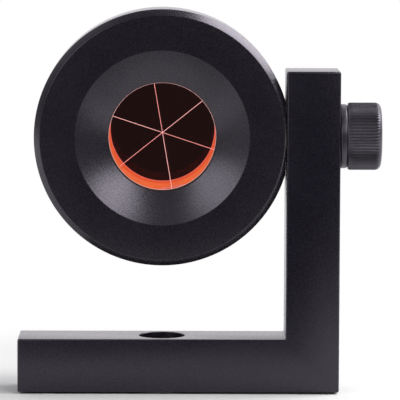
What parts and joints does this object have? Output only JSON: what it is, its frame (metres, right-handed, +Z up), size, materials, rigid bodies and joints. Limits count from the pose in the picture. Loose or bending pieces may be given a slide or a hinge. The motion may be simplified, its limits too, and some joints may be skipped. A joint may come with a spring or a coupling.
{
  "type": "survey prism",
  "caption": "Corner-cube survey reflector in a round black tilting head, clamped by a knurled screw to the arm of an L-bracket with a bolt hole in its base.",
  "frame": {"origin": "middle of the bounding box in X and Y, on the plane of the bracket's underside", "axes": "+X from the prism towards the arm and clamp screw, -Y the way the prism looks, +Z up"},
  "size_m": [0.0848, 0.0302, 0.0893],
  "materials": {
    "bracket_anodise": "fine bead-blasted black anodise",
    "housing_anodise": "fine bead-blasted black anodise",
    "cover_anodise": "turned black anodise",
    "clamp_screw_oxide": "black-oxide steel, rolled knurl",
    "washer_oxide": "black-oxide steel",
    "cover_screw_oxide": "black-oxide steel",
    "insert_steel": "plain stainless steel",
    "spring_steel": "spring steel",
    "prism_glass_coated": "polished optical glass, copper-orange coating on its back and side",
    "seal_rubber": "matt black rubber",
    "cushion_rubber": "matt moulded rubber",
    "oring_rubber": "smooth black rubber",
    "friction_nylon": "natural nylon"
  },
  "bodies": {
    "bracket": {"l_bracket": "bracket_anodise"},
    "prism_head": {"prism_housing": "housing_anodise", "rear_cover": "cover_anodise", "prism_glass": "prism_glass_coated", "front_gasket": "seal_rubber", "prism_cushion": "cushion_rubber", "wave_spring": "spring_steel", "cover_oring": "oring_rubber", "cover_screw_1": "cover_screw_oxide", "cover_screw_2": "cover_screw_oxide", "cover_screw_3": "cover_screw_oxide", "thread_insert": "insert_steel", "friction_washer": "friction_nylon"},
    "washer": {"clamp_washer": "washer_oxide"},
    "screw": {"clamp_screw": "clamp_screw_oxide"}
  },
  "joints": [
    {"name": "head_tilt", "type": "hinge", "parent": "bracket", "child": "prism_head", "pos_m": [-0.0087, -0.00726, 0.0595], "axis": [1, 0, 0], "continuous": true},
    {"name": "clamp_travel", "type": "slide", "parent": "bracket", "child": "washer", "axis": [1, 0, 0], "range_m": [0, 0.0075]},
    {"name": "clamp_turn", "type": "hinge", "parent": "washer", "child": "screw", "pos_m": [0.0385, -0.00726, 0.0595], "axis": [1, 0, 0], "range_deg": [0, 1800]}
  ],
  "couplings": [
    {"joint": "clamp_turn", "follows": "clamp_travel", "rad_per_m": 4188.8}
  ]
}
